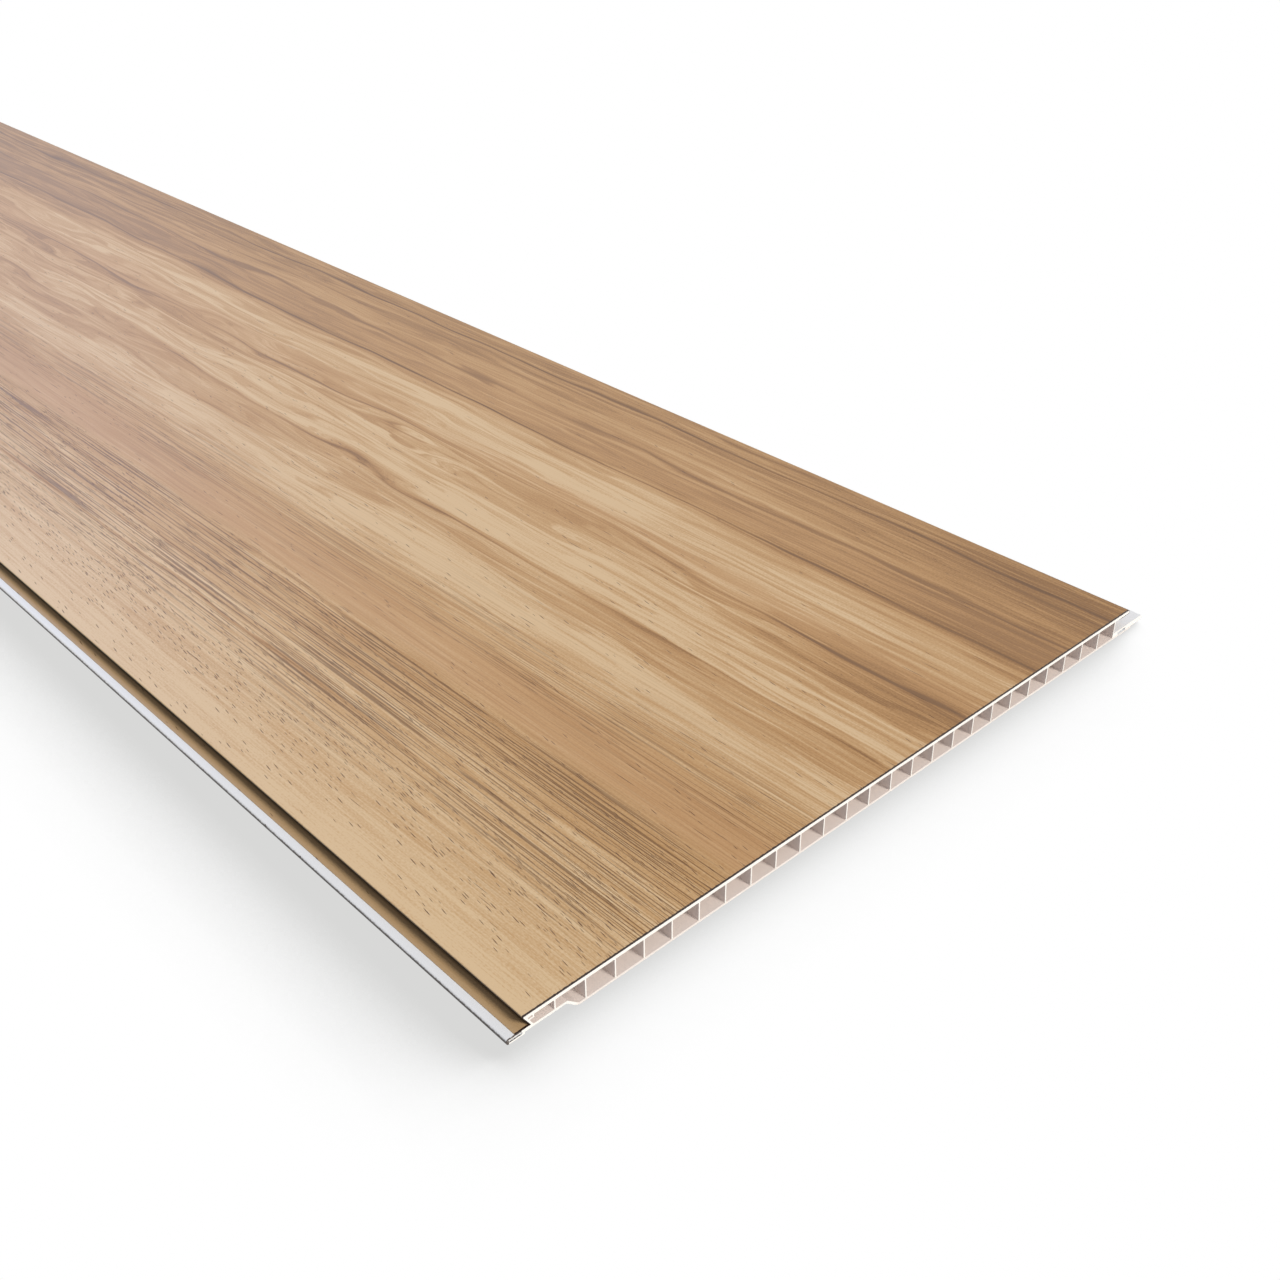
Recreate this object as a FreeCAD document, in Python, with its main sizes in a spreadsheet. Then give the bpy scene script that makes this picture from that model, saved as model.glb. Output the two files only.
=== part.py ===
import FreeCAD, Part
import Sketcher
import os

# A hollow-core ceiling panel: a rigid PVC extrusion with a decor film laminated on its face.
# The section is drawn with X across the panel from the edge of the lip, and Z up from the back.

os.makedirs("parts", exist_ok=True)
doc = FreeCAD.newDocument("ceiling_panel")

# Driving dimensions, in millimetres
DIMENSIONS = [
    # The board as it is sold
    ("cover_width", 250.0),
    ("panel_depth", 8.0),
    ("panel_length", 3000.0),
    ("film", 0.2),
    # Skins and webs
    ("face_skin", 1.05),
    ("back_skin", 0.7),
    ("web", 0.4),
    ("cell_pitch", 9.3),
    ("first_web", 9.1),
    ("chamber_corner", 0.2),
    # Lip: the film-covered edge above the joint flange
    ("nose_depth", 0.6),
    ("nose_radius", 0.35),
    ("wall_run", 1.85),
    ("lip_wall", 0.5),
    ("lip_chamber_depth", 0.6),
    ("lip_rib", 0.4),
    ("lip_rib_reach", 1.0),
    # Joint flange with its own thin slot
    ("flange_reach", 5.0),
    ("flange_top", 4.05),
    ("flange_depth", 1.55),
    ("flange_wall", 0.45),
    ("flange_tip", 0.7),
    ("flange_radius", 0.65),
    ("film_reach", 2.45),
    # Raised underside that lets the next panel's tongue in
    ("notch", 0.3),
    ("relief_depth", 3.1),
    ("relief_width", 12.7),
    ("relief_ramp", 3.4),
    ("relief_round", 3.0),
    # Overhang, block and tongue on the other edge
    ("overhang", 7.8),
    ("overhang_radius", 0.7),
    ("film_return", 5.5),
    ("block_depth", 2.25),
    ("block_reach", 2.7),
    ("block_wall", 0.6),
    ("block_chamber", 4.4),
    ("block_chamber_start", 2.6),
    ("tongue_reach", 9.0),
    ("tongue_under", 0.6),
    ("tongue_radius", 0.7),
]

sheet = doc.addObject("Spreadsheet::Sheet", "sizes")
for row, (alias, value) in enumerate(DIMENSIONS, start=1):
    sheet.set(f"A{row}", alias)
    sheet.set(f"B{row}", str(value))
    sheet.setAlias(f"B{row}", alias)
doc.recompute()

# Heights shared by both pieces
FACE = "sizes.panel_depth"
FACE_SKIN_TOP = "sizes.panel_depth - sizes.film"
FACE_SKIN_UNDER = "sizes.panel_depth - sizes.film - sizes.face_skin"
NOSE_END = "sizes.panel_depth - sizes.nose_depth"
FLANGE_TOP = "sizes.flange_top"
FLANGE_UNDER = "sizes.flange_top - sizes.flange_depth"
RELIEF_FLOOR = "sizes.relief_depth + sizes.back_skin"

# Places across the panel
LAST_WEB_END = "sizes.cover_width - sizes.overhang"
WEB_SPAN = "(sizes.cover_width - sizes.overhang - sizes.web - sizes.first_web)"
CELLS = f"round({WEB_SPAN} / sizes.cell_pitch)"
PITCH = f"({WEB_SPAN} / {CELLS})"
SECOND_WEB = f"sizes.first_web + {PITCH}"

# The lip's wall slants in from the nose to the flange, and one ramp ends the raised underside.
# Each slant is the length of its wall's level cut for every millimetre of wall thickness.
WALL_RISE = "(sizes.panel_depth - sizes.nose_depth - sizes.flange_top - sizes.film)"
WALL_SLANT = f"sqrt(sizes.wall_run ^ 2 + {WALL_RISE} ^ 2) / {WALL_RISE}"
RAMP_SLANT = "sqrt(sizes.relief_ramp ^ 2 + sizes.relief_depth ^ 2) / sizes.relief_depth"


def wall_at(height, inset):
    """Place on the lip's wall at a height, an inset behind its film-covered face."""
    run = f"sizes.wall_run * (sizes.panel_depth - sizes.nose_depth - ({height})) / {WALL_RISE}"
    return f"{run} + ({inset}) * {WALL_SLANT}"


def ramp_at(height, inset):
    """Place on the ramp at a height, an inset behind its underside."""
    run = f"sizes.relief_ramp * (sizes.relief_depth - ({height})) / sizes.relief_depth"
    return f"sizes.relief_width + {run} + ({inset}) * {RAMP_SLANT}"


def origin_part(body, role):
    """One of a body's own planes or axes."""
    return next(item for item in body.Origin.OriginFeatures if item.Role == role)


def new_body(label):
    """A body whose section stands centred on the frame's origin."""
    body = doc.addObject("PartDesign::Body", label)
    body.Label = label
    body.setExpression("Placement.Base.x", "(sizes.flange_reach - sizes.cover_width - sizes.tongue_reach) / 2")
    return body


def section_sketch(body, name):
    """An empty sketch on the plane across the panel's length."""
    sketch = body.newObject("Sketcher::SketchObject", name)
    sketch.AttachmentSupport = [(origin_part(body, "XZ_Plane"), "")]
    sketch.MapMode = "FlatFace"
    return sketch


def measure(expression):
    """The present value of an expression."""
    return float(sheet.evalExpression(expression))


def place(sketch, kind, line, expression):
    """Bind one coordinate of a line's start to an expression, or hold it on the axis."""
    if expression == "0":
        axis = {"DistanceX": -2, "DistanceY": -1}[kind]
        sketch.addConstraint(Sketcher.Constraint("PointOnObject", line, 1, axis))
        return
    index = sketch.addConstraint(Sketcher.Constraint(kind, -1, 1, line, 1, measure(expression)))
    sketch.setExpression(f"Constraints[{index}]", expression)


def draw_outline(sketch, corners):
    """Closed outline through corners given as an across and a height expression, and a radius if rounded.

    Level and upright sides are held so, and the rounded corners are tangent arcs.
    """
    points = []
    for across, height, *radius in corners:
        points.append(FreeCAD.Vector(measure(across), measure(height), 0))
    for index, start in enumerate(points):
        sketch.addGeometry(Part.LineSegment(start, points[(index + 1) % len(points)]))
    for index in range(len(points)):
        sketch.addConstraint(Sketcher.Constraint("Coincident", index, 2, (index + 1) % len(points), 1))
    before = (None, None)
    for index, (across, height, *radius) in enumerate(corners):
        if across == before[0]:
            sketch.addConstraint(Sketcher.Constraint("Vertical", index - 1))
        else:
            place(sketch, "DistanceX", index, across)
        if height == before[1]:
            sketch.addConstraint(Sketcher.Constraint("Horizontal", index - 1))
        else:
            place(sketch, "DistanceY", index, height)
        before = (across, height)
    for index, (across, height, *radius) in enumerate(corners):
        if radius:
            arc = sketch.GeometryCount
            sketch.fillet(index, 1, measure(radius[0]), True, True)
            size = sketch.addConstraint(Sketcher.Constraint("Radius", arc, measure(radius[0])))
            sketch.setExpression(f"Constraints[{size}]", radius[0])


def pad_section(body, corners):
    """The section run out to the panel's length, half each way from its plane."""
    sketch = section_sketch(body, "Section")
    draw_outline(sketch, corners)
    pad = body.newObject("PartDesign::Pad", "Length")
    pad.Profile = sketch
    pad.SideType = "Symmetric"
    pad.setExpression("Length", "sizes.panel_length")
    doc.recompute()


def cut_chamber(body, name, corners):
    """A chamber that runs the panel's whole length, with soft corners as an extrusion die leaves them."""
    sketch = section_sketch(body, name + "Outline")
    draw_outline(sketch, [(across, height, "sizes.chamber_corner") for across, height in corners])
    before = body.Shape.Volume
    pocket = body.newObject("PartDesign::Pocket", name)
    pocket.Profile = sketch
    pocket.SideType = "Symmetric"
    pocket.Type = "Length"
    pocket.setExpression("Length", "sizes.panel_length")
    doc.recompute()
    if pocket.Shape.Volume >= before:
        raise RuntimeError(f"{name} cuts nothing")
    return pocket


# The white extrusion: one outline from the tongue's edge round to the flange
PVC_WALL_TOP = f"{NOSE_END} + sizes.film * ({WALL_SLANT} - 1) * {WALL_RISE} / sizes.wall_run"
BLOCK_END = "sizes.cover_width + sizes.block_reach"
TONGUE_END = "sizes.cover_width + sizes.tongue_reach"
FLANGE_END = "-sizes.flange_reach"
SKIN_END = "sizes.cover_width - sizes.film"

panel = new_body("panel_extrusion")
pad_section(panel, [
    (ramp_at("0", "0"), "0", "sizes.relief_round"),
    (BLOCK_END, "0"),
    (BLOCK_END, "sizes.tongue_under"),
    (TONGUE_END, "sizes.tongue_under", "sizes.tongue_radius"),
    (TONGUE_END, "sizes.block_depth", "sizes.tongue_radius"),
    (LAST_WEB_END, "sizes.block_depth"),
    (LAST_WEB_END, FACE_SKIN_UNDER),
    (SKIN_END, FACE_SKIN_UNDER),
    (SKIN_END, FACE_SKIN_TOP, "sizes.overhang_radius - sizes.film"),
    ("sizes.film", FACE_SKIN_TOP, "sizes.nose_radius - sizes.film"),
    ("sizes.film", PVC_WALL_TOP),
    (wall_at(FLANGE_TOP, "sizes.film"), FLANGE_TOP),
    (FLANGE_END, FLANGE_TOP, "sizes.flange_radius"),
    (FLANGE_END, FLANGE_UNDER, "sizes.flange_radius"),
    ("sizes.notch", FLANGE_UNDER),
    ("sizes.notch", "sizes.relief_depth"),
    ("sizes.relief_width", "sizes.relief_depth"),
])

# Thin chambers in the lip's nose, the flange and the block
INSIDE_LIP = "sizes.film + sizes.lip_wall"
LIP_CHAMBER_FLOOR = f"{FACE_SKIN_UNDER} - sizes.lip_chamber_depth"
RIB_UNDER = f"{LIP_CHAMBER_FLOOR} - sizes.lip_rib"
LIP_CHAMBER_END = f"{wall_at(RIB_UNDER, INSIDE_LIP)} + sizes.lip_rib_reach"
cut_chamber(panel, "LipChamber", [
    (wall_at(LIP_CHAMBER_FLOOR, INSIDE_LIP), LIP_CHAMBER_FLOOR),
    (LIP_CHAMBER_END, LIP_CHAMBER_FLOOR),
    (LIP_CHAMBER_END, FACE_SKIN_UNDER),
    (wall_at(FACE_SKIN_UNDER, INSIDE_LIP), FACE_SKIN_UNDER),
])
SLOT_START = "sizes.flange_tip - sizes.flange_reach"
SLOT_END = "sizes.notch - sizes.flange_tip"
SLOT_FLOOR = f"{FLANGE_UNDER} + sizes.flange_wall"
SLOT_ROOF = "sizes.flange_top - sizes.flange_wall"
cut_chamber(panel, "FlangeSlot", [
    (SLOT_START, SLOT_FLOOR),
    (SLOT_END, SLOT_FLOOR),
    (SLOT_END, SLOT_ROOF),
    (SLOT_START, SLOT_ROOF),
])
BLOCK_CHAMBER_START = f"{LAST_WEB_END} + sizes.block_chamber_start"
BLOCK_CHAMBER_END = f"{BLOCK_CHAMBER_START} + sizes.block_chamber"
cut_chamber(panel, "BlockChamber", [
    (BLOCK_CHAMBER_START, "sizes.block_wall"),
    (BLOCK_CHAMBER_END, "sizes.block_wall"),
    (BLOCK_CHAMBER_END, "sizes.block_depth - sizes.block_wall"),
    (BLOCK_CHAMBER_START, "sizes.block_depth - sizes.block_wall"),
])

# The two chambers over the raised underside
RIB_END = f"{LIP_CHAMBER_END} + sizes.lip_rib"
FIRST_WEB_END = "sizes.first_web + sizes.web"
cut_chamber(panel, "FirstChamber", [
    (wall_at(RELIEF_FLOOR, INSIDE_LIP), RELIEF_FLOOR),
    ("sizes.first_web", RELIEF_FLOOR),
    ("sizes.first_web", FACE_SKIN_UNDER),
    (RIB_END, FACE_SKIN_UNDER),
    (RIB_END, RIB_UNDER),
    (wall_at(RIB_UNDER, INSIDE_LIP), RIB_UNDER),
])
cut_chamber(panel, "SecondChamber", [
    (ramp_at("sizes.back_skin", "sizes.back_skin"), "sizes.back_skin"),
    (SECOND_WEB, "sizes.back_skin"),
    (SECOND_WEB, FACE_SKIN_UNDER),
    (FIRST_WEB_END, FACE_SKIN_UNDER),
    (FIRST_WEB_END, RELIEF_FLOOR),
    (ramp_at(RELIEF_FLOOR, "sizes.back_skin"), RELIEF_FLOOR),
])

# Full-height cells from the second web to the last, one drawn and the rest repeated from it
FIRST_CELL_START = f"{SECOND_WEB} + sizes.web"
FIRST_CELL_END = f"{SECOND_WEB} + {PITCH}"
cell = cut_chamber(panel, "Cell", [
    (FIRST_CELL_START, "sizes.back_skin"),
    (FIRST_CELL_END, "sizes.back_skin"),
    (FIRST_CELL_END, FACE_SKIN_UNDER),
    (FIRST_CELL_START, FACE_SKIN_UNDER),
])
cells = panel.newObject("PartDesign::LinearPattern", "Cells")
cells.Originals = [cell]
cells.Direction = (origin_part(panel, "X_Axis"), [""])
cells.Mode = "Spacing"
cells.setExpression("Offset", PITCH)
cells.setExpression("Occurrences", f"{CELLS} - 1")
panel.Tip = cells
doc.recompute()

# The decor film: over the face, round both long edges, on under the overhang and over part of the flange
FILM_TOP_ON_FLANGE = "sizes.flange_top + sizes.film"
FILM_UNDER_OVERHANG = f"{FACE_SKIN_UNDER} - sizes.film"
FILM_RETURN_END = "sizes.cover_width - sizes.film_return"
film = new_body("decor_film")
pad_section(film, [
    (FILM_RETURN_END, FILM_UNDER_OVERHANG),
    ("sizes.cover_width", FILM_UNDER_OVERHANG),
    ("sizes.cover_width", FACE, "sizes.overhang_radius"),
    ("0", FACE, "sizes.nose_radius"),
    ("0", NOSE_END),
    ("sizes.wall_run", FILM_TOP_ON_FLANGE),
    ("-sizes.film_reach", FILM_TOP_ON_FLANGE),
    ("-sizes.film_reach", FLANGE_TOP),
    (wall_at(FLANGE_TOP, "sizes.film"), FLANGE_TOP),
    ("sizes.film", PVC_WALL_TOP),
    ("sizes.film", FACE_SKIN_TOP, "sizes.nose_radius - sizes.film"),
    (SKIN_END, FACE_SKIN_TOP, "sizes.overhang_radius - sizes.film"),
    (SKIN_END, FACE_SKIN_UNDER),
    (FILM_RETURN_END, FACE_SKIN_UNDER),
])

doc.recompute()
for item in doc.Objects:
    if "Invalid" in item.State or "Error" in item.State:
        raise RuntimeError(f"{item.Label} did not build")
for body in (panel, film):
    if not body.Shape.isValid():
        raise RuntimeError(f"{body.Label} is not a sound solid")
    body.Shape.exportStep(f"parts/{body.Label}.step")
    print(body.Label, len(body.Shape.Solids), round(body.Shape.Volume), body.Shape.BoundBox)
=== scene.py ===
import math
from collections import namedtuple

import bpy
from mathutils import Matrix, Vector


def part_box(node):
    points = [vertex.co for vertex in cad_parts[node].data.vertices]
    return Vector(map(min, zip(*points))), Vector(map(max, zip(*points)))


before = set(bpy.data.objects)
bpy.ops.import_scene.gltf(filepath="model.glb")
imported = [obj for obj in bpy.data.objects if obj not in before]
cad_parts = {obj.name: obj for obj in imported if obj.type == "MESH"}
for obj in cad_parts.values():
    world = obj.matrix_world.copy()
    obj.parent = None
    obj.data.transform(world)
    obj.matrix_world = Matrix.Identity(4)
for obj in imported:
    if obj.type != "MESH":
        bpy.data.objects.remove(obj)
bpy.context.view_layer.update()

MM = 0.001

# Real sizes of the panel that the finishes need, in millimetres
FLANGE_REACH = 5.0
COVER_WIDTH = 250.0

extrusion_low, extrusion_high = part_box("panel_extrusion")
LIP_EDGE = extrusion_low.x / MM + FLANGE_REACH
CUT_END = extrusion_low.y / MM
HALF_LENGTH = (extrusion_high.y - extrusion_low.y) / 2 / MM

# Millimetres across from the lip edge, along from the photographed cut, and up from the floor
Places = namedtuple("Places", "across along up")


def linear(hex_colour):
    """An sRGB hex colour as linear RGBA."""
    channels = []
    for start in (1, 3, 5):
        value = int(hex_colour[start:start + 2], 16) / 255
        channels.append(value / 12.92 if value <= 0.04045 else ((value + 0.055) / 1.055) ** 2.4)
    return (*channels, 1.0)


def grey(value):
    """A plain grey as linear RGBA, which is also how a ramp carries a number."""
    return (value, value, value, 1.0)


def add(tree, kind, inputs=(), **settings):
    """Adds one shader node with its settings and links.

    Inputs come in order in a list, or by name or number in a dict.
    Each is a value, a socket, or a node, which stands for its first output.
    """
    node = tree.nodes.new("ShaderNode" + kind)
    for name, value in settings.items():
        setattr(node, name, value)
    for name, value in inputs.items() if isinstance(inputs, dict) else enumerate(inputs):
        if isinstance(value, bpy.types.Node):
            value = value.outputs[0]
        if isinstance(value, bpy.types.NodeSocket):
            tree.links.new(value, node.inputs[name])
        else:
            node.inputs[name].default_value = value
    return node


def set_stops(ramp, stops, interpolation="LINEAR"):
    """Gives a colour ramp its stops, as position and colour, in order."""
    elements = ramp.color_ramp.elements
    ramp.color_ramp.interpolation = interpolation
    elements[0].position, elements[0].color = stops[0]
    elements[1].position, elements[1].color = stops[-1]
    for position, colour in stops[1:-1]:
        elements.new(position).color = colour


def new_material(name, roughness, ior):
    """A material with one Principled shader, and its tree."""
    material = bpy.data.materials.new(name)
    material.use_nodes = True
    tree = material.node_tree
    shader = tree.nodes["Principled BSDF"]
    shader.inputs["Roughness"].default_value = roughness
    shader.inputs["IOR"].default_value = ior
    return material, tree, shader


def panel_places(tree):
    """Where a point of the panel is, in millimetres."""
    coordinates = add(tree, "TexCoord").outputs["Object"]
    millimetres = add(tree, "VectorMath", [coordinates, (1 / MM, 1 / MM, 1 / MM)], operation="MULTIPLY")
    from_corner = add(tree, "VectorMath", [millimetres, (-LIP_EDGE, -CUT_END, 0)], operation="ADD")
    axes = add(tree, "SeparateXYZ", [from_corner])
    return Places(axes.outputs["X"], axes.outputs["Y"], axes.outputs["Z"])


def from_nearer_end(tree, along):
    """How far in from the nearer of the two cut ends."""
    from_middle = add(tree, "Math", [along, HALF_LENGTH], operation="SUBTRACT")
    from_middle = add(tree, "Math", [from_middle], operation="ABSOLUTE")
    return add(tree, "Math", [HALF_LENGTH, from_middle], operation="SUBTRACT")


def swing(tree, noise, reach):
    """Noise turned into a swing either way of nothing."""
    return add(tree, "Math", [noise, 2 * reach, -reach], operation="MULTIPLY_ADD")


def tinted(tree, share, under, tone):
    """A colour with a share of a tone, in sRGB hex, laid over it."""
    return add(tree, "Mix", {"Factor": share, 6: under, 7: linear(tone)}, data_type="RGBA").outputs[2]


# Wood-grain decor film: PVC film about 0.2 mm thick, gravure printed and lightly embossed, satin.
# The print runs along the panel, so every pattern is stretched that way.
# PVC's IOR is about 1.53. The film's is set lower, so that its gloss shows less of the white surroundings.
FILM_ROUGHNESS = 0.38
FILM_IOR = 1.46
FILM_TONES = {
    "pale": "#DABD95",
    "tan": "#C59F70",
    "brown": "#B18653",
    "dark": "#8C6333",
    "line": "#65421D",
    "warm": "#C09468",
    "vessel": "#67431A",
    "pore": "#512C06",
    "flange": "#AF9069",
    # The cut tone also serves as the painted shade on the lip's undercut wall and in the corner at its foot
    "cut": "#29160A",
}

# The print's inks in order of darkness
INKS = [(0.0, "pale"), (0.33, "tan"), (0.66, "brown"), (1.0, "dark"), (1.5, "line")]

# Growth bands of the print: place from the lip edge in millimetres, and darkness
GROWTH_BANDS = [
    (0, 0.00), (9, 0.08), (20, 0.18), (30, 0.17), (36, 0.20), (44, 0.23), (52, 0.34), (63, 0.41),
    (67, 0.32), (76, 0.42), (84, 0.46), (94, 0.34), (99, 0.14), (111, 0.02), (119, 0.30), (129, 0.46),
    (136, 0.08), (146, 0.10), (156, 0.32), (162, 0.52), (169, 0.28), (178, 0.14), (186, 0.02),
    (191, 0.32), (202, 0.70), (213, 0.68), (221, 0.50), (230, 0.70), (241, 0.75), (250, 0.70),
]

# Dark lines that end the growth bands: place, half width and darkness. A ramp's 32 stops allow ten.
GROWTH_LINES = [
    (38, 0.4, 0.50), (54, 0.5, 0.60), (65, 0.5, 0.90), (131, 0.5, 1.00), (163, 0.7, 0.80),
    (187, 0.6, 0.50), (199, 0.7, 1.30), (217, 0.6, 1.00), (228, 0.5, 0.50), (239, 0.7, 1.00),
]

# A line is darkest past its middle, by a share of its half width.
# It fades in places: the fading's grain, then noise from and to, and share from and to.
LINE_PEAK = 0.2
LINE_GRAIN = (9, 120, 1.0)
LINE_FADE = (0.35, 0.6, 0.5, 1.0)

# Reddish heartwood: place and strength
WARM_BANDS = [
    (0, 0.0), (66, 0.0), (71, 0.5), (82, 0.4), (90, 0.1), (158, 0.1), (170, 0.3), (178, 0.1),
    (200, 0.1), (205, 0.25), (214, 0.2), (222, 0.1), (250, 0.0),
]

# Where the plank's heart was cut, so that the grain flows in flames: place and share.
# Along the film the flames grow from their least share to all of it, between two places.
HEART = [(0, 0.0), (92, 0.1), (110, 0.6), (160, 1.0), (190, 0.5), (250, 0.3)]
FLAME_START = (60.0, 260.0)
FLAME_LEAST = 0.2

# The grain's bends: width and length in millimetres, detail, and how far each moves the bands either way
WANDER = (40, 500, 1.0, 3.0)
RIPPLE = (6, 60, 2.0, 1.5)
FLAME = (12, 120, 1.5, 7.5)

# Soft dark clouds in the print, and last a painted shade at the cut end's corner away from the lip: place
# across and along, half width, half length and darkness
CLOUDS_AND_CORNER_SHADE = [(157, 8, 12, 50, 0.42), (160.5, 277, 1.5, 6, 0.50), (220, 0, 50, 70, 0.24)]

# The knot draws the bands apart round it, by a share of the way from its middle
KNOT = {"across": 160, "along": 277, "half_width": 9, "half_length": 30}
KNOT_PULL = 0.8

# Painted shade for the light's fall-off away from the cut: the film darkens and pales again along its
# length. Where it is palest, how far from there it starts to darken and is darkest, and how dark. It does
# so less on the lip's side: place and share.
PAINTED_FALLOFF = {"palest": 200.0, "start": 50.0, "reach": 800.0, "darkness": 0.62}
PAINTED_FALLOFF_SHARE = [
    (0, 0.0), (50, 0.3), (75, 1.0), (130, 0.7), (160, 1.0), (215, 0.9), (235, 0.4), (250, 0.3),
]

# Fibrous grain scatters more than the rest
FIBROUS = 0.6

# Streaks: width and length in millimetres, detail and swing. They are calmer by the lip: place and share.
STREAKS = [(2.4, 210, 3.0, 0.34), (1.3, 60, 2.0, 0.22)]
STREAK_SHARE = [(0, 0.45), (28, 0.6), (40, 1.0), (250, 1.0)]

# Feathered strokes: width and length in millimetres, and darkness.
# Their noise turns sharply between two values. Outside the heart they keep a share.
STROKES = [(4.2, 75, 0.10), (2.0, 130, 0.07)]
STROKE_DETAIL = 2.0
STROKE_EDGE = (0.49, 0.52)
STROKE_LEAST = 0.3

# Fibres and a leathery grain: width and length in millimetres, detail, the fibres' scatter, and swing
FIBRE = (0.5, 30, 2.0, FIBROUS)
FIBRE_SWING = 0.26
LEATHER = (0.45, 0.9, 2.0)
LEATHER_SWING = 0.22

# How densely the short pores and the long ones lie: place and share
SHORT_PORES = [
    (0, 0.08), (5, 0.18), (14, 0.35), (18, 0.90), (28, 1.0), (34, 0.50), (66, 0.30), (69, 0.06),
    (94, 0.05), (104, 0.10), (124, 0.06), (140, 0.10), (158, 0.06), (170, 0.02), (250, 0.02),
]
LONG_PORES = [
    (0, 0.0), (17, 0.05), (26, 0.25), (30, 0.60), (36, 1.0), (46, 0.90), (54, 1.0), (66, 1.0),
    (68, 0.10), (80, 0.25), (86, 0.60), (98, 0.40), (103, 0.12), (125, 0.15), (132, 0.05), (250, 0.05),
]

# Vessel lines, where the pores run together: what noise 0.5 mm wide and 90 mm long leaves above its middle.
# The noise has its detail and scatter, and turns to ink between two values.
VESSEL_GRAIN = (0.5, 90, 1.0, 0.3)
VESSEL_EDGE = (0.56, 0.60)
VESSEL_INK = 0.72

# Open pores are dashes up to 0.3 mm wide. Short ones lean and are up to 4 mm long, long ones up to 10 mm.
# Each kind has its lean, the cell that holds a dash in millimetres, its half size in cells, and its ink.
PORES = [
    {"lean": -0.12, "cell": (0.62, 8.5), "half_size": 0.23, "density": SHORT_PORES, "ink": 0.95},
    {"lean": 0.0, "cell": (0.7, 26.0), "half_size": 0.20, "density": LONG_PORES, "ink": 0.80},
]

# The smallest pore's share of the largest, and where a dash fades out and in, in shares of its size
SMALLEST_PORE = 0.4
PORE_EDGE = (1.0, 0.6)

# The pores lie in crowds: their grain, then noise from and to, and share from and to
CROWD_GRAIN = (4, 26, 1.0)
CROWDS = (0.38, 0.58, 0.25, 1.0)

# Painted shade: the film is darkened from the lip's nose down its undercut wall, and in the corner at the
# wall's foot
WALL_TOP = 7.9
WALL_SHADE = 7.7
WALL_FOOT = 4.35
WALL_DARKNESS = 0.92
CORNER = (0.9, 1.6)
CORNER_DARKNESS = 0.8

# On the flange most of the print gives way to one dull tone
FLANGE_DULLING = 0.8

# A saw leaves the film's edge and a frayed half millimetre of its face dark
FRAYED = (0.50, 0.40)
FRAY_GRAIN = (1.1, 400, 2.0)
FRAY_SWING = 0.20

# Emboss: a pore's depth in millimetres, how strongly it shows, and the other grains' heights in such depths
EMBOSS_DEPTH = 0.08
EMBOSS_STRENGTH = 0.45
LEATHER_HEIGHT = 0.5
FIBRE_HEIGHT = 0.8


def line_stops():
    """Ramp stops for the dark lines, each rising from nothing and falling back."""
    stops = [(0, 0.0)]
    for middle, half_width, darkness in GROWTH_LINES:
        stops.append((middle - half_width, 0.0))
        stops.append((middle + LINE_PEAK * half_width, darkness))
        stops.append((middle + half_width, 0.0))
    stops.append((COVER_WIDTH, 0.0))
    return stops


def ramp_across(tree, place, stops, interpolation="LINEAR"):
    """A value that changes across the panel's width, from stops in millimetres."""
    share = add(tree, "Math", [place, COVER_WIDTH], operation="DIVIDE")
    ramp = add(tree, "ValToRGB", [share])
    set_stops(ramp, [(position / COVER_WIDTH, grey(value)) for position, value in stops], interpolation)
    return ramp


def stretched(tree, place, along, wide, long):
    """Coordinates in which one unit is a given width and length of grain, in millimetres."""
    widths = add(tree, "Math", [place, wide], operation="DIVIDE")
    lengths = add(tree, "Math", [along, long], operation="DIVIDE")
    return add(tree, "CombineXYZ", [widths, lengths])


def grain(tree, place, along, wide, long, detail, scatter=0.5):
    """Noise with a given width and length of grain, in millimetres."""
    vector = stretched(tree, place, along, wide, long)
    inputs = {"Vector": vector, "Scale": 1.0, "Detail": detail, "Roughness": scatter}
    return add(tree, "TexNoise", inputs, noise_dimensions="2D")


def oval(tree, places, across, along, half_width, half_length):
    """One in the middle of an oval, falling softly to nothing."""
    aside = add(tree, "Math", [places.across, across], operation="SUBTRACT")
    aside = add(tree, "Math", [aside, half_width], operation="DIVIDE")
    beyond = add(tree, "Math", [places.along, along], operation="SUBTRACT")
    beyond = add(tree, "Math", [beyond, half_length], operation="DIVIDE")
    spread = add(tree, "Math", [aside, aside], operation="MULTIPLY")
    spread = add(tree, "Math", [beyond, beyond, spread], operation="MULTIPLY_ADD")
    spread = add(tree, "Math", [spread, -1.0], operation="MULTIPLY")
    return add(tree, "Math", [spread], operation="EXPONENT")


def bend(tree, places, wide, long, detail, reach):
    """How far the grain is moved across at a point."""
    return swing(tree, grain(tree, places.across, places.along, wide, long, detail), reach)


def grain_flow(tree, places, heart):
    """Where across the plank a point's grain began: with the slow drift alone, and with all its bends."""
    drift = add(tree, "Math", [places.across, bend(tree, places, *WANDER)], operation="ADD")
    ripple = bend(tree, places, *RIPPLE)

    start = add(tree, "MapRange", [places.along, *FLAME_START], interpolation_type="SMOOTHSTEP")
    share = add(tree, "Math", [start, 1 - FLAME_LEAST, FLAME_LEAST], operation="MULTIPLY_ADD")
    share = add(tree, "Math", [heart, share], operation="MULTIPLY")
    flame = add(tree, "Math", [bend(tree, places, *FLAME), share], operation="MULTIPLY")

    beside_knot = add(tree, "Math", [places.across, KNOT["across"]], operation="SUBTRACT")
    pull = add(tree, "Math", [beside_knot, -KNOT_PULL], operation="MULTIPLY")
    knot = add(tree, "Math", [oval(tree, places, **KNOT), pull], operation="MULTIPLY")

    flow = drift
    for moved in (ripple, flame, knot):
        flow = add(tree, "Math", [flow, moved], operation="ADD")
    return drift, flow


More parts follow.
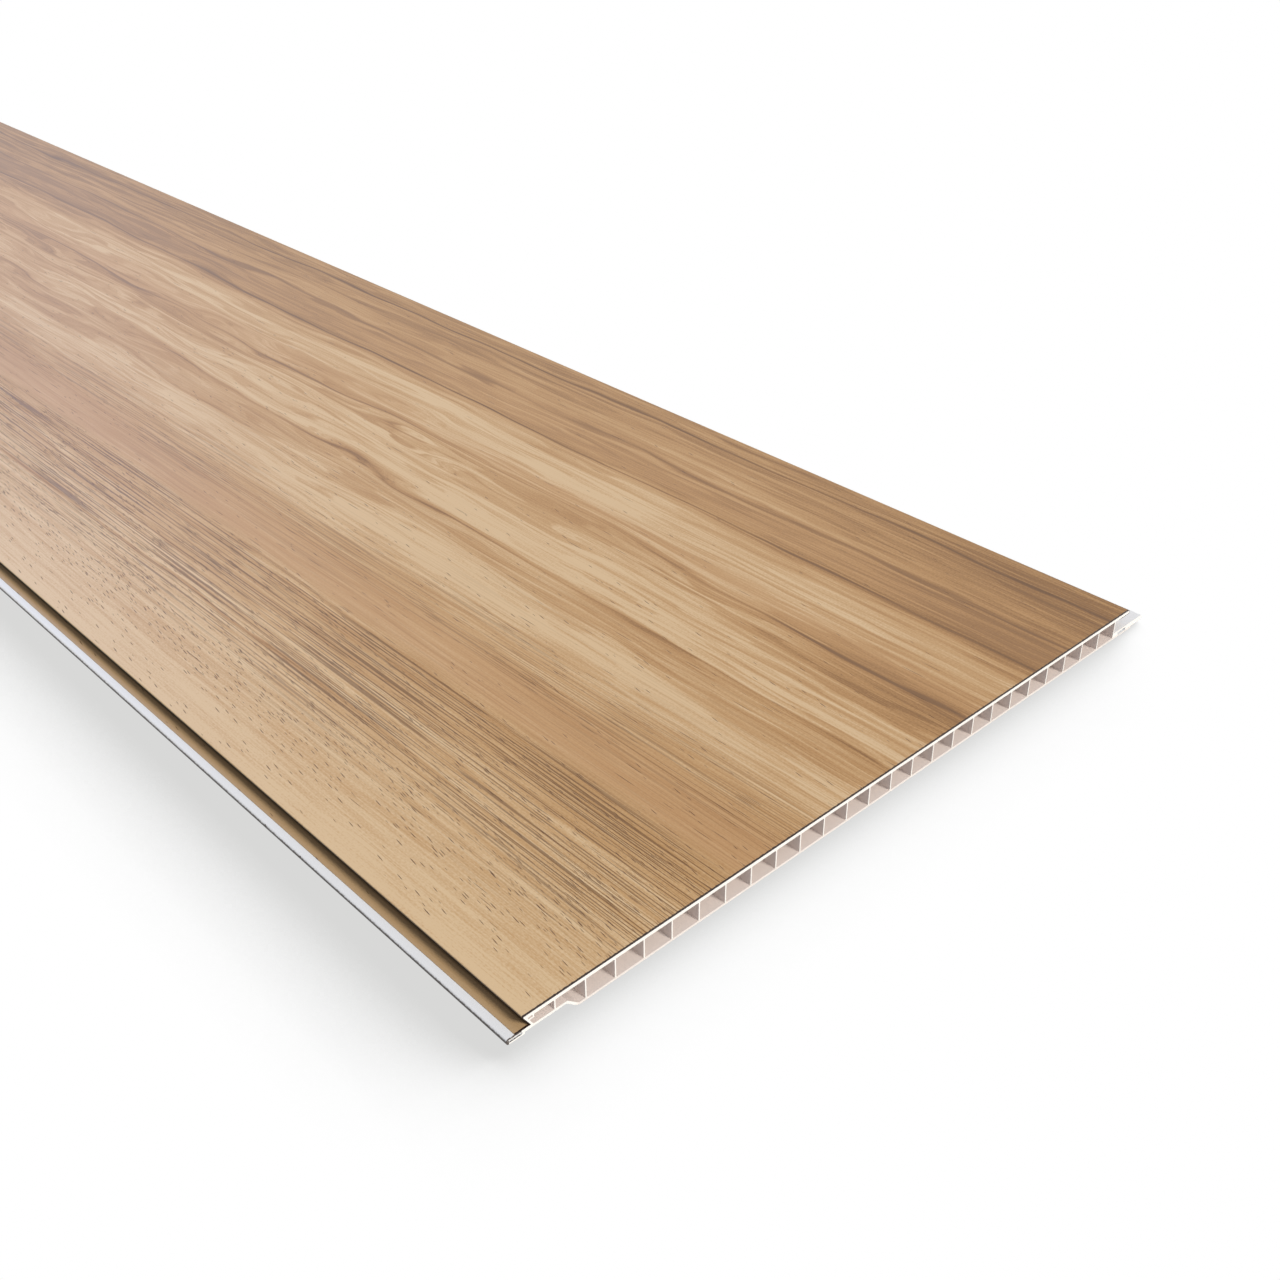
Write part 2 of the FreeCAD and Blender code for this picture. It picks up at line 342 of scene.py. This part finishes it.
def growth_tone(tree, places, flow):
    """How dark the print's growth bands, lines and clouds are, with a painted shade at one corner of the
    cut and a painted fall-off along the film.
    """
    tone = ramp_across(tree, flow, GROWTH_BANDS, "EASE")
    line_share = add(tree, "MapRange", [grain(tree, flow, places.along, *LINE_GRAIN), *LINE_FADE])
    lines = ramp_across(tree, flow, line_stops())
    tone = add(tree, "Math", [lines, line_share, tone], operation="MULTIPLY_ADD")
    for *place, darkness in CLOUDS_AND_CORNER_SHADE:
        tone = add(tree, "Math", [oval(tree, places, *place), darkness, tone], operation="MULTIPLY_ADD")
    away = add(tree, "Math", [places.along, PAINTED_FALLOFF["palest"]], operation="SUBTRACT")
    away = add(tree, "Math", [away, PAINTED_FALLOFF["reach"]], operation="PINGPONG")
    painted_falloff = add(tree, "MapRange", [away, PAINTED_FALLOFF["start"], PAINTED_FALLOFF["reach"], 0.0, PAINTED_FALLOFF["darkness"]])
    share = ramp_across(tree, places.across, PAINTED_FALLOFF_SHARE)
    return add(tree, "Math", [painted_falloff, share, tone], operation="MULTIPLY_ADD")


def streaked_tone(tree, places, flow, heart, tone):
    """The tone with its streaks, and with feathered strokes that are stronger in the heart."""
    share = ramp_across(tree, places.across, STREAK_SHARE)
    for wide, long, detail, reach in STREAKS:
        streak = swing(tree, grain(tree, flow, places.along, wide, long, detail, FIBROUS), reach)
        tone = add(tree, "Math", [streak, share, tone], operation="MULTIPLY_ADD")
    share = add(tree, "Math", [heart, STROKE_LEAST], operation="ADD")
    for wide, long, depth in STROKES:
        noise = grain(tree, flow, places.along, wide, long, STROKE_DETAIL)
        stroke = add(tree, "MapRange", [noise, *STROKE_EDGE, -depth, depth])
        tone = add(tree, "Math", [stroke, share, tone], operation="MULTIPLY_ADD")
    return tone


def inked(tree, tone):
    """The print's colour for a tone."""
    darkest = INKS[-1][0]
    share = add(tree, "Math", [tone, darkest], operation="DIVIDE")
    colours = add(tree, "ValToRGB", [share])
    set_stops(colours, [(darkness / darkest, linear(FILM_TONES[ink])) for darkness, ink in INKS])
    return colours.outputs[0]


def add_vessels(tree, places, drift, printed):
    """The vessel lines, and the print with them inked in."""
    vessels = add(tree, "MapRange", [grain(tree, drift, places.along, *VESSEL_GRAIN), *VESSEL_EDGE])
    vessels = add(tree, "Math", [vessels, ramp_across(tree, drift, LONG_PORES)], operation="MULTIPLY")
    ink = add(tree, "Math", [vessels, VESSEL_INK], operation="MULTIPLY")
    return vessels, tinted(tree, ink, printed, FILM_TONES["vessel"])


def pore_dashes(tree, places, drift, crowding, kind):
    """One kind of open pore: a dash in some of the cells, each of its own size."""
    leaning = add(tree, "Math", [places.along, kind["lean"], drift], operation="MULTIPLY_ADD")
    vector = stretched(tree, leaning, places.along, *kind["cell"])
    cells = add(tree, "TexVoronoi", {"Vector": vector, "Scale": 1.0}, voronoi_dimensions="2D")
    chance = add(tree, "SeparateColor", [cells.outputs["Color"]]).outputs
    density = ramp_across(tree, drift, kind["density"])
    limit = add(tree, "Math", [density, crowding], operation="MULTIPLY")
    kept = add(tree, "Math", [chance["Red"], limit], operation="LESS_THAN")
    largest = kind["half_size"]
    smallest = largest * SMALLEST_PORE
    reach = add(tree, "Math", [chance["Green"], largest - smallest, smallest], operation="MULTIPLY_ADD")
    distance = add(tree, "Math", [cells.outputs["Distance"], reach], operation="DIVIDE")
    dash = add(tree, "MapRange", [distance, *PORE_EDGE])
    return add(tree, "Math", [dash, kept], operation="MULTIPLY")


def add_pores(tree, places, drift, printed, pressed):
    """What is pressed in with both kinds of open pore, and the print with them inked in."""
    crowding = add(tree, "MapRange", [grain(tree, drift, places.along, *CROWD_GRAIN), *CROWDS])
    for kind in PORES:
        dash = pore_dashes(tree, places, drift, crowding, kind)
        ink = add(tree, "Math", [dash, kind["ink"]], operation="MULTIPLY")
        printed = tinted(tree, ink, printed, FILM_TONES["pore"])
        pressed = add(tree, "Math", [pressed, dash], operation="MAXIMUM")
    return pressed, printed


def flange_side(tree, places):
    """One on the film below the face at the lip, and one on what of it lies on the flange."""
    lower = add(tree, "Math", [places.up, WALL_TOP], operation="LESS_THAN")
    by_lip = add(tree, "Math", [places.across, FLANGE_REACH], operation="LESS_THAN")
    below = add(tree, "Math", [lower, by_lip], operation="MULTIPLY")
    lowest = add(tree, "Math", [places.up, WALL_FOOT], operation="LESS_THAN")
    return below, add(tree, "Math", [below, lowest], operation="MULTIPLY")


def cut_ends_and_shade(tree, places, below, on_flange):
    """How dark the film is at its frayed sawn ends, and the painted shade down the lip's undercut wall and
    in the corner at its foot.
    """
    fray = swing(tree, grain(tree, places.across, places.along, *FRAY_GRAIN), FRAY_SWING)
    from_end = add(tree, "Math", [from_nearer_end(tree, places.along), fray], operation="ADD")
    edge = add(tree, "MapRange", [from_end, *FRAYED])
    wall = add(tree, "MapRange", [places.up, WALL_TOP, WALL_SHADE, 0.0, WALL_DARKNESS])
    above_flange = add(tree, "Math", [below, on_flange], operation="SUBTRACT")
    wall = add(tree, "Math", [wall, above_flange], operation="MULTIPLY")
    corner = add(tree, "MapRange", [places.across, *CORNER, 0.0, CORNER_DARKNESS])
    corner = add(tree, "Math", [on_flange, corner], operation="MULTIPLY")
    painted_shade = add(tree, "Math", [corner, wall], operation="MAXIMUM")
    return add(tree, "Math", [edge, painted_shade], operation="MAXIMUM")


def make_wood_film():
    """The printed and embossed face film."""
    material, tree, shader = new_material("wood_grain_pvc_film", FILM_ROUGHNESS, FILM_IOR)
    places = panel_places(tree)
    heart = ramp_across(tree, places.across, HEART)
    drift, flow = grain_flow(tree, places, heart)

    fibre = grain(tree, drift, places.along, *FIBRE)
    leather = grain(tree, places.across, places.along, *LEATHER)
    tone = growth_tone(tree, places, flow)
    tone = streaked_tone(tree, places, flow, heart, tone)
    for noise, reach in ((fibre, FIBRE_SWING), (leather, LEATHER_SWING)):
        tone = add(tree, "Math", [tone, swing(tree, noise, reach)], operation="ADD")

    printed = tinted(tree, ramp_across(tree, flow, WARM_BANDS), inked(tree, tone), FILM_TONES["warm"])
    below, on_flange = flange_side(tree, places)
    dulled = add(tree, "Math", [on_flange, FLANGE_DULLING], operation="MULTIPLY")
    printed = tinted(tree, dulled, printed, FILM_TONES["flange"])
    vessels, printed = add_vessels(tree, places, drift, printed)
    pressed, printed = add_pores(tree, places, drift, printed, vessels)
    # The cut tone darkens the frayed sawn ends, and is also painted as shade on the lip's undercut wall and
    # corner
    cut_and_shade = cut_ends_and_shade(tree, places, below, on_flange)
    tree.links.new(tinted(tree, cut_and_shade, printed, FILM_TONES["cut"]), shader.inputs["Base Color"])

    # Emboss: the pores are pressed in, over the leathery grain
    height = add(tree, "Math", [leather, LEATHER_HEIGHT], operation="MULTIPLY")
    height = add(tree, "Math", [pressed, -1.0, height], operation="MULTIPLY_ADD")
    height = add(tree, "Math", [fibre, FIBRE_HEIGHT, height], operation="MULTIPLY_ADD")
    inputs = {"Height": height, "Strength": EMBOSS_STRENGTH, "Distance": EMBOSS_DEPTH * MM}
    bump = add(tree, "Bump", inputs)
    tree.links.new(bump.outputs[0], shader.inputs["Normal"])
    return material


# Extruded rigid PVC: off-white and satin, with faint die lines along the length.
# The sawn cut is whiter than the drawn skin; at the back skin it takes the chambers' painted shade.
# Chamber walls are painted a shade warmer and greyer than the outside, as painted shade inside the
# chambers.
PVC_ROUGHNESS = 0.38
PVC_IOR = 1.53
PVC_TONES = {
    "outside": "#E9EBEF",
    "chamber": "#E5DAD5",
    "sawn": "#F7F4F0",
    "speck": "#4A403A",
    "dark_mark": "#301C0C",
}

# A face that looks more than this share along the panel is a sawn end
SAWN_FACING = 0.9

# The chambers lie between these places across, and above a height that is inside the back skin
CHAMBERS = (0.5, 242.5)
CHAMBERS_FLOOR = 0.4
BACK_SKIN = 0.7
BACK_EDGE_SHADE = 0.7

# Swarf and dust: how wide a speck's cell is in millimetres, the share of cells with one, and a speck's half
# size in cells. Specks are up to 0.6 mm across, drawn coarse so that they show.
SPECK_SPACING = 4.5
SPECK_SHARE = 0.15
SPECK_SIZE = 0.07

# The flange's section, whose cut outline is scuffed dark and whose lower outer edge is darkened, out from
# the marks' end
FLANGE_TOP = 4.05
FLANGE_UNDERSIDE = 2.5
FLANGE_TIP = 0.7
DARK_MARKS_END = -0.6

# Dark marks: where the lower edge's darkening fades out and in above the underside, and the scuffs in from
# an edge.
# A noise, in waves per millimetre and with its detail, makes them ragged by its swing.
LOW_DARKENING = (1.40, 1.10)
EDGE_SCUFF = (0.30, 0.15)
DARK_MARK_STRENGTH = 0.95
RAGGED_WAVES = 1.5
RAGGED_DETAIL = 3.0
RAGGED_SWING = 0.25

# Die lines along the length, a third of a millimetre apart: waves per millimetre on each axis, and detail.
# Their depth is in millimetres.
DIE_LINE_WAVES = (3.0, 0.004, 3.0)
DIE_LINE_DETAIL = 2.0
DIE_LINE_DEPTH = 0.06
DIE_LINE_STRENGTH = 0.25


def add_specks(tree, coordinates, tone):
    """The tone with a few specks on it."""
    inputs = {"Vector": coordinates, "Scale": 1 / SPECK_SPACING}
    cells = add(tree, "TexVoronoi", inputs, voronoi_dimensions="3D")
    chance = add(tree, "SeparateColor", [cells.outputs["Color"]])
    kept = add(tree, "Math", [chance, 1 - SPECK_SHARE], operation="GREATER_THAN")
    near = add(tree, "Math", [cells.outputs["Distance"], SPECK_SIZE], operation="LESS_THAN")
    speck = add(tree, "Math", [kept, near], operation="MULTIPLY")
    return tinted(tree, speck, tone, PVC_TONES["speck"])


def add_dark_marks(tree, places, coordinates, sawn, tone):
    """A ragged dark line along the flange's lower outer edge, round its cut, and as a burr at the ends."""
    inputs = {"Vector": coordinates, "Scale": RAGGED_WAVES, "Detail": RAGGED_DETAIL}
    ragged = swing(tree, add(tree, "TexNoise", inputs), RAGGED_SWING)

    above_foot = add(tree, "Math", [places.up, FLANGE_UNDERSIDE], operation="SUBTRACT")
    above_foot = add(tree, "Math", [above_foot, ragged], operation="ADD")
    low = add(tree, "MapRange", [above_foot, *LOW_DARKENING])
    outermost = add(tree, "Math", [places.across, FLANGE_TIP - FLANGE_REACH], operation="LESS_THAN")
    low = add(tree, "Math", [low, outermost], operation="MULTIPLY")

    under_top = add(tree, "Math", [FLANGE_TOP, places.up], operation="SUBTRACT")
    from_tip = add(tree, "Math", [places.across, FLANGE_REACH], operation="ADD")
    inside = add(tree, "Math", [under_top, from_tip], operation="MINIMUM")
    inside = add(tree, "Math", [inside, ragged], operation="ADD")
    outline = add(tree, "MapRange", [inside, *EDGE_SCUFF])
    outline = add(tree, "Math", [outline, sawn], operation="MULTIPLY")

    from_end = add(tree, "Math", [from_nearer_end(tree, places.along), ragged], operation="ADD")
    burr = add(tree, "MapRange", [from_end, *EDGE_SCUFF])
    drawn = add(tree, "Math", [1.0, sawn], operation="SUBTRACT")
    burr = add(tree, "Math", [burr, drawn], operation="MULTIPLY")

    dark_mark = low
    for mark in (outline, burr):
        dark_mark = add(tree, "Math", [dark_mark, mark], operation="MAXIMUM")
    on_flange = add(tree, "Math", [places.across, DARK_MARKS_END], operation="LESS_THAN")
    dark_mark = add(tree, "Math", [dark_mark, on_flange], operation="MULTIPLY")
    dark_mark = add(tree, "Math", [dark_mark, DARK_MARK_STRENGTH], operation="MULTIPLY")
    return tinted(tree, dark_mark, tone, PVC_TONES["dark_mark"])


def make_white_pvc():
    """The white extrusion."""
    material, tree, shader = new_material("white_rigid_pvc", PVC_ROUGHNESS, PVC_IOR)
    places = panel_places(tree)
    coordinates = add(tree, "CombineXYZ", [*places])

    # Painted shade inside the chambers: their walls take the warmer, greyer chamber tone
    past_lip = add(tree, "Math", [places.across, CHAMBERS[0]], operation="GREATER_THAN")
    before_block = add(tree, "Math", [places.across, CHAMBERS[1]], operation="LESS_THAN")
    above_back = add(tree, "Math", [places.up, CHAMBERS_FLOOR], operation="GREATER_THAN")
    chamber = add(tree, "Math", [past_lip, before_block], operation="MULTIPLY")
    chamber = add(tree, "Math", [chamber, above_back], operation="MULTIPLY")
    tone = tinted(tree, chamber, linear(PVC_TONES["outside"]), PVC_TONES["chamber"])

    # The cut ends face along the panel
    normal = add(tree, "NewGeometry").outputs["Normal"]
    facing = add(tree, "SeparateXYZ", [normal]).outputs["Y"]
    facing = add(tree, "Math", [facing], operation="ABSOLUTE")
    sawn = add(tree, "Math", [facing, SAWN_FACING], operation="GREATER_THAN")
    tone = tinted(tree, sawn, tone, PVC_TONES["sawn"])
    # Painted shade on the back skin's sawn edge, in the chamber tone
    shaded_back_edge = add(tree, "Math", [places.up, BACK_SKIN], operation="LESS_THAN")
    shaded_back_edge = add(tree, "Math", [shaded_back_edge, sawn], operation="MULTIPLY")
    shaded_back_edge = add(tree, "Math", [shaded_back_edge, BACK_EDGE_SHADE], operation="MULTIPLY")
    tone = tinted(tree, shaded_back_edge, tone, PVC_TONES["chamber"])

    tone = add_specks(tree, coordinates, tone)
    tone = add_dark_marks(tree, places, coordinates, sawn, tone)
    tree.links.new(tone, shader.inputs["Base Color"])

    waves = add(tree, "VectorMath", [coordinates, DIE_LINE_WAVES], operation="MULTIPLY")
    die_lines = add(tree, "TexNoise", {"Vector": waves, "Scale": 1.0, "Detail": DIE_LINE_DETAIL})
    inputs = {"Height": die_lines, "Strength": DIE_LINE_STRENGTH, "Distance": DIE_LINE_DEPTH * MM}
    bump = add(tree, "Bump", inputs)
    tree.links.new(bump.outputs[0], shader.inputs["Normal"])
    return material


def dress(node, material):
    """Gives a CAD node its finish."""
    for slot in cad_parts[node].material_slots:
        slot.material = material


dress("decor_film", make_wood_film())
dress("panel_extrusion", make_white_pvc())


# Stage: a white floor whose only tone is the panel's soft shadow, with sizes in metres.
# The shadow goes from its tone to white between two shares of open sky.
SHADOW_REACH = 0.05
SHADOW_TONE = "#D8D8D7"
SHADOW_EDGE = (0.75, 0.95)
FLOOR_GAP = 0.2 * MM
FLOOR_SIZE = 30.0
FLOOR_LIGHT = 0.6
SKY_TONE = "#F2F4FA"
SKY_STRENGTH = 0.4


def background_rays(tree):
    """One for the rays that show the background: straight to the eye, or by way of gloss or glass."""
    path = add(tree, "LightPath").outputs
    by_way = add(tree, "Math", [path["Is Glossy Ray"], path["Is Transmission Ray"]], operation="MAXIMUM")
    return add(tree, "Math", [path["Is Camera Ray"], by_way], operation="MAXIMUM")


def make_floor():
    """A plain floor just under the panel. The eye sees white, less what the panel shades from +X."""
    half = FLOOR_SIZE / 2
    mesh = bpy.data.meshes.new("floor")
    corners = [(-half, -half, 0), (half, -half, 0), (half, half, 0), (-half, half, 0)]
    mesh.from_pydata(corners, [], [(0, 1, 2, 3)])
    floor = bpy.data.objects.new("floor", mesh)
    floor.location.z = -FLOOR_GAP
    bpy.context.scene.collection.objects.link(floor)
    material, tree, shader = new_material("white_floor", roughness=0.9, ior=1.45)
    shader.inputs["Base Color"].default_value = grey(FLOOR_LIGHT)
    toward_light = add(tree, "Normal")
    toward_light.outputs[0].default_value = (1, 0, 0)
    inputs = {"Distance": SHADOW_REACH, "Normal": toward_light}
    shade = add(tree, "AmbientOcclusion", inputs, samples=32)
    tone = add(tree, "ValToRGB", [shade.outputs["AO"]])
    set_stops(tone, [(SHADOW_EDGE[0], linear(SHADOW_TONE)), (SHADOW_EDGE[1], grey(1.0))])
    glow = add(tree, "Emission", [tone])
    surface = add(tree, "MixShader", [background_rays(tree), shader, glow])
    tree.links.new(surface.outputs[0], tree.nodes["Material Output"].inputs["Surface"])
    mesh.materials.append(material)


def make_world():
    """A white room for the eye, and a plain soft sky for the light."""
    world = bpy.data.worlds.new("studio")
    bpy.context.scene.world = world
    world.use_nodes = True
    tree = world.node_tree
    ambient = tree.nodes["Background"]
    ambient.inputs["Color"].default_value = linear(SKY_TONE)
    ambient.inputs["Strength"].default_value = SKY_STRENGTH
    white = add(tree, "Background", {"Color": grey(1.0), "Strength": 1.0})
    surface = add(tree, "MixShader", [background_rays(tree), ambient, white])
    tree.links.new(surface.outputs[0], tree.nodes["World Output"].inputs["Surface"])


def aim(lamp, toward):
    """Puts a lamp in the scene, shining in a direction."""
    lamp.rotation_euler = Vector(toward).to_track_quat("-Z", "Y").to_euler()
    bpy.context.scene.collection.objects.link(lamp)


def add_key(turn, height, spread, strength, colour):
    """A distant soft key: degrees round from the cut end toward +X, degrees up, and degrees across."""
    light = bpy.data.lights.new("key", "SUN")
    light.angle = math.radians(spread)
    light.energy = strength
    light.color = linear(colour)[:3]
    turn, height = math.radians(turn), math.radians(height)
    away = Vector((math.cos(height) * math.sin(turn), -math.cos(height) * math.cos(turn), math.sin(height)))
    aim(bpy.data.objects.new("key", light), -away)


def add_softbox(name, place, target, size, power, colour):
    """A square area light aimed at a target, with sizes in metres and power in watts."""
    light = bpy.data.lights.new(name, "AREA")
    light.shape = "SQUARE"
    light.size = size
    light.energy = power
    light.color = linear(colour)[:3]
    lamp = bpy.data.objects.new(name, light)
    lamp.location = place
    aim(lamp, Vector(target) - Vector(place))


def add_camera():
    """The photograph's view, in a 36 mm frame, from out beyond the flange and the cut end."""
    turn, tilt, roll = math.radians(-42.70), math.radians(33.09), math.radians(-0.511)
    camera_data = bpy.data.cameras.new("camera")
    camera_data.sensor_width = 36.0
    camera_data.lens = 41.65
    camera_data.clip_start = 0.01
    camera_data.clip_end = 100
    camera = bpy.data.objects.new("camera", camera_data)
    forward = Vector((-math.sin(turn) * math.cos(tilt), math.cos(turn) * math.cos(tilt), -math.sin(tilt)))
    level = Vector((math.cos(turn), math.sin(turn), 0))
    upward = level.cross(forward)
    right = math.cos(roll) * level + math.sin(roll) * upward
    up = math.cos(roll) * upward - math.sin(roll) * level
    rotation = Matrix((right, up, -forward)).transposed()
    place = Vector((-264.3, CUT_END - 188.6, 259.5)) * MM
    camera.matrix_world = Matrix.Translation(place) @ rotation.to_4x4()
    bpy.context.scene.collection.objects.link(camera)
    bpy.context.scene.camera = camera


make_floor()
make_world()
add_key(turn=7, height=38, spread=18, strength=2.8, colour="#FFFAF0")
add_softbox("window", (0.98, 2.27, 2.16), (-0.07, -1.15, 0), 1.0, 12.5, "#A8C0FF")
add_camera()

bpy.context.scene.view_settings.view_transform = "Standard"
